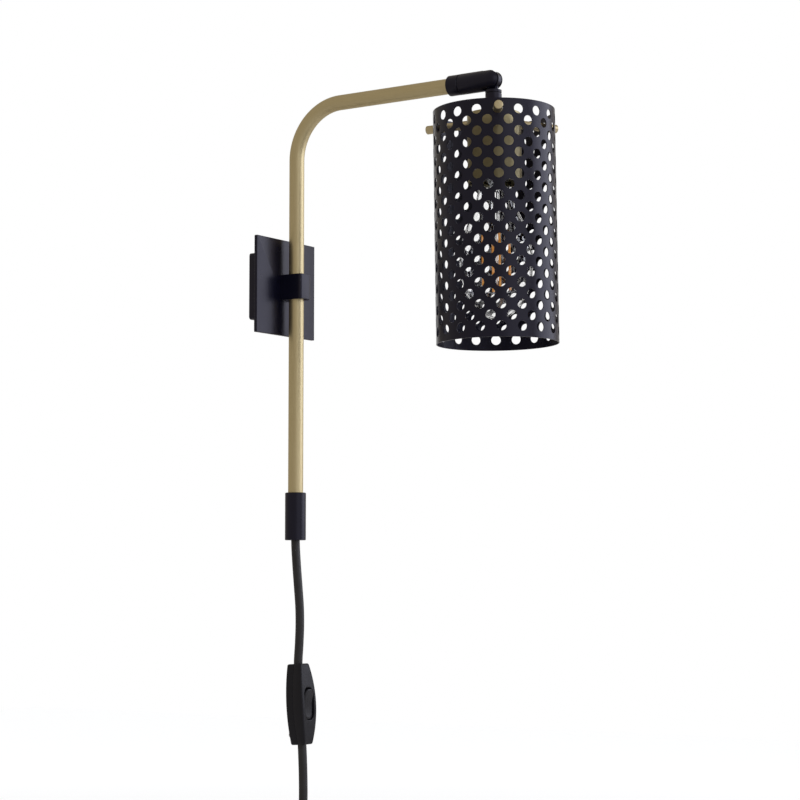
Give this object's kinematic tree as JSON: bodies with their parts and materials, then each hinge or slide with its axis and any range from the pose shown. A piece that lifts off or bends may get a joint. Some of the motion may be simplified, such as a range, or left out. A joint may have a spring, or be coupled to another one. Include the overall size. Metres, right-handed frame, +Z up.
{
  "type": "swing arm wall sconce",
  "caption": "Plug-in swing arm wall sconce: a brass tube arm turns in a wall clamp and carries a tilting perforated cylinder shade, with an inline rocker switch on its cord.",
  "frame": {"origin": "centre of the wall bracket's back face, on the wall plane", "axes": "+X right along the wall, +Y into the wall, +Z up; the arm points along -Y at rest"},
  "size_m": [0.1088, 0.2773, 0.7814],
  "materials": {
    "black_paint": "satin black powder coat",
    "satin_brass": "satin brushed brass, lacquered",
    "plain_brass": "plain turned brass",
    "zinc_steel": "zinc plated",
    "nylon": "natural nylon",
    "cord_pvc": "matte black PVC jacket",
    "switch_plastic": "fine matte moulded plastic",
    "phenolic": "moulded phenolic",
    "clear_glass": "clear blown glass",
    "filament": "orange phosphor coat on the light strips",
    "tie_fabric": "woven hook-and-loop strap"
  },
  "bodies": {
    "wall_fixing": {"wall_bracket": "zinc_steel", "wall_box": "black_paint", "box_screws": "zinc_steel", "back_plate": "black_paint", "tube_clamp": "black_paint", "clamp_screws": "zinc_steel", "friction_shoe": "nylon", "shoe_spring": "zinc_steel", "cord_upper": "cord_pvc", "cord_lower": "cord_pvc", "cord_coil": "cord_pvc", "cord_tail": "cord_pvc", "cord_tie": "tie_fabric", "plug_body": "switch_plastic", "plug_blades": "plain_brass", "switch_base": "switch_plastic", "switch_cover": "switch_plastic", "switch_screws": "zinc_steel", "switch_contacts": "plain_brass", "rocker_pin": "zinc_steel"},
    "arm": {"arm_tube": "satin_brass", "arm_cable": "cord_pvc", "bottom_sleeve": "black_paint", "sleeve_screw": "zinc_steel", "arm_collar": "black_paint", "collar_screw": "zinc_steel", "swivel_stud": "plain_brass", "stud_nut": "plain_brass"},
    "barrel": {"swivel_barrel": "black_paint", "roll_washer": "nylon", "pivot_screw": "zinc_steel", "pivot_washers": "nylon"},
    "head": {"swivel_stem": "black_paint", "lock_nut": "black_paint", "socket_cup": "satin_brass", "lamp_holder": "phenolic", "screw_shell": "plain_brass", "centre_contact": "plain_brass", "shade_pins": "satin_brass", "pin_nuts": "zinc_steel", "shade": "black_paint", "bulb_cap": "zinc_steel", "bulb_insulator": "phenolic", "bulb_tip": "zinc_steel", "bulb_glass": "clear_glass", "bulb_stem": "clear_glass", "bulb_filaments": "filament", "filament_wires": "zinc_steel"},
    "rocker": {"switch_rocker": "switch_plastic"}
  },
  "joints": [
    {"name": "arm_swing", "type": "hinge", "parent": "wall_fixing", "child": "arm", "pos_m": [0, -0.0288, 0], "axis": [0, 0, 1], "range_deg": [-80, 80]},
    {"name": "barrel_roll", "type": "hinge", "parent": "arm", "child": "barrel", "pos_m": [0, -0.2249, 0.1539], "axis": [0, 1, 0], "range_deg": [-90, 90]},
    {"name": "head_tilt", "type": "hinge", "parent": "barrel", "child": "head", "pos_m": [0, -0.2249, 0.1539], "axis": [-1, 0, 0], "range_deg": [-0.9, 89.1]},
    {"name": "rocker_press", "type": "hinge", "parent": "wall_fixing", "child": "rocker", "pos_m": [0, -0.03974, -0.35085], "axis": [-1, 0, 0], "range_deg": [0, 12]}
  ]
}
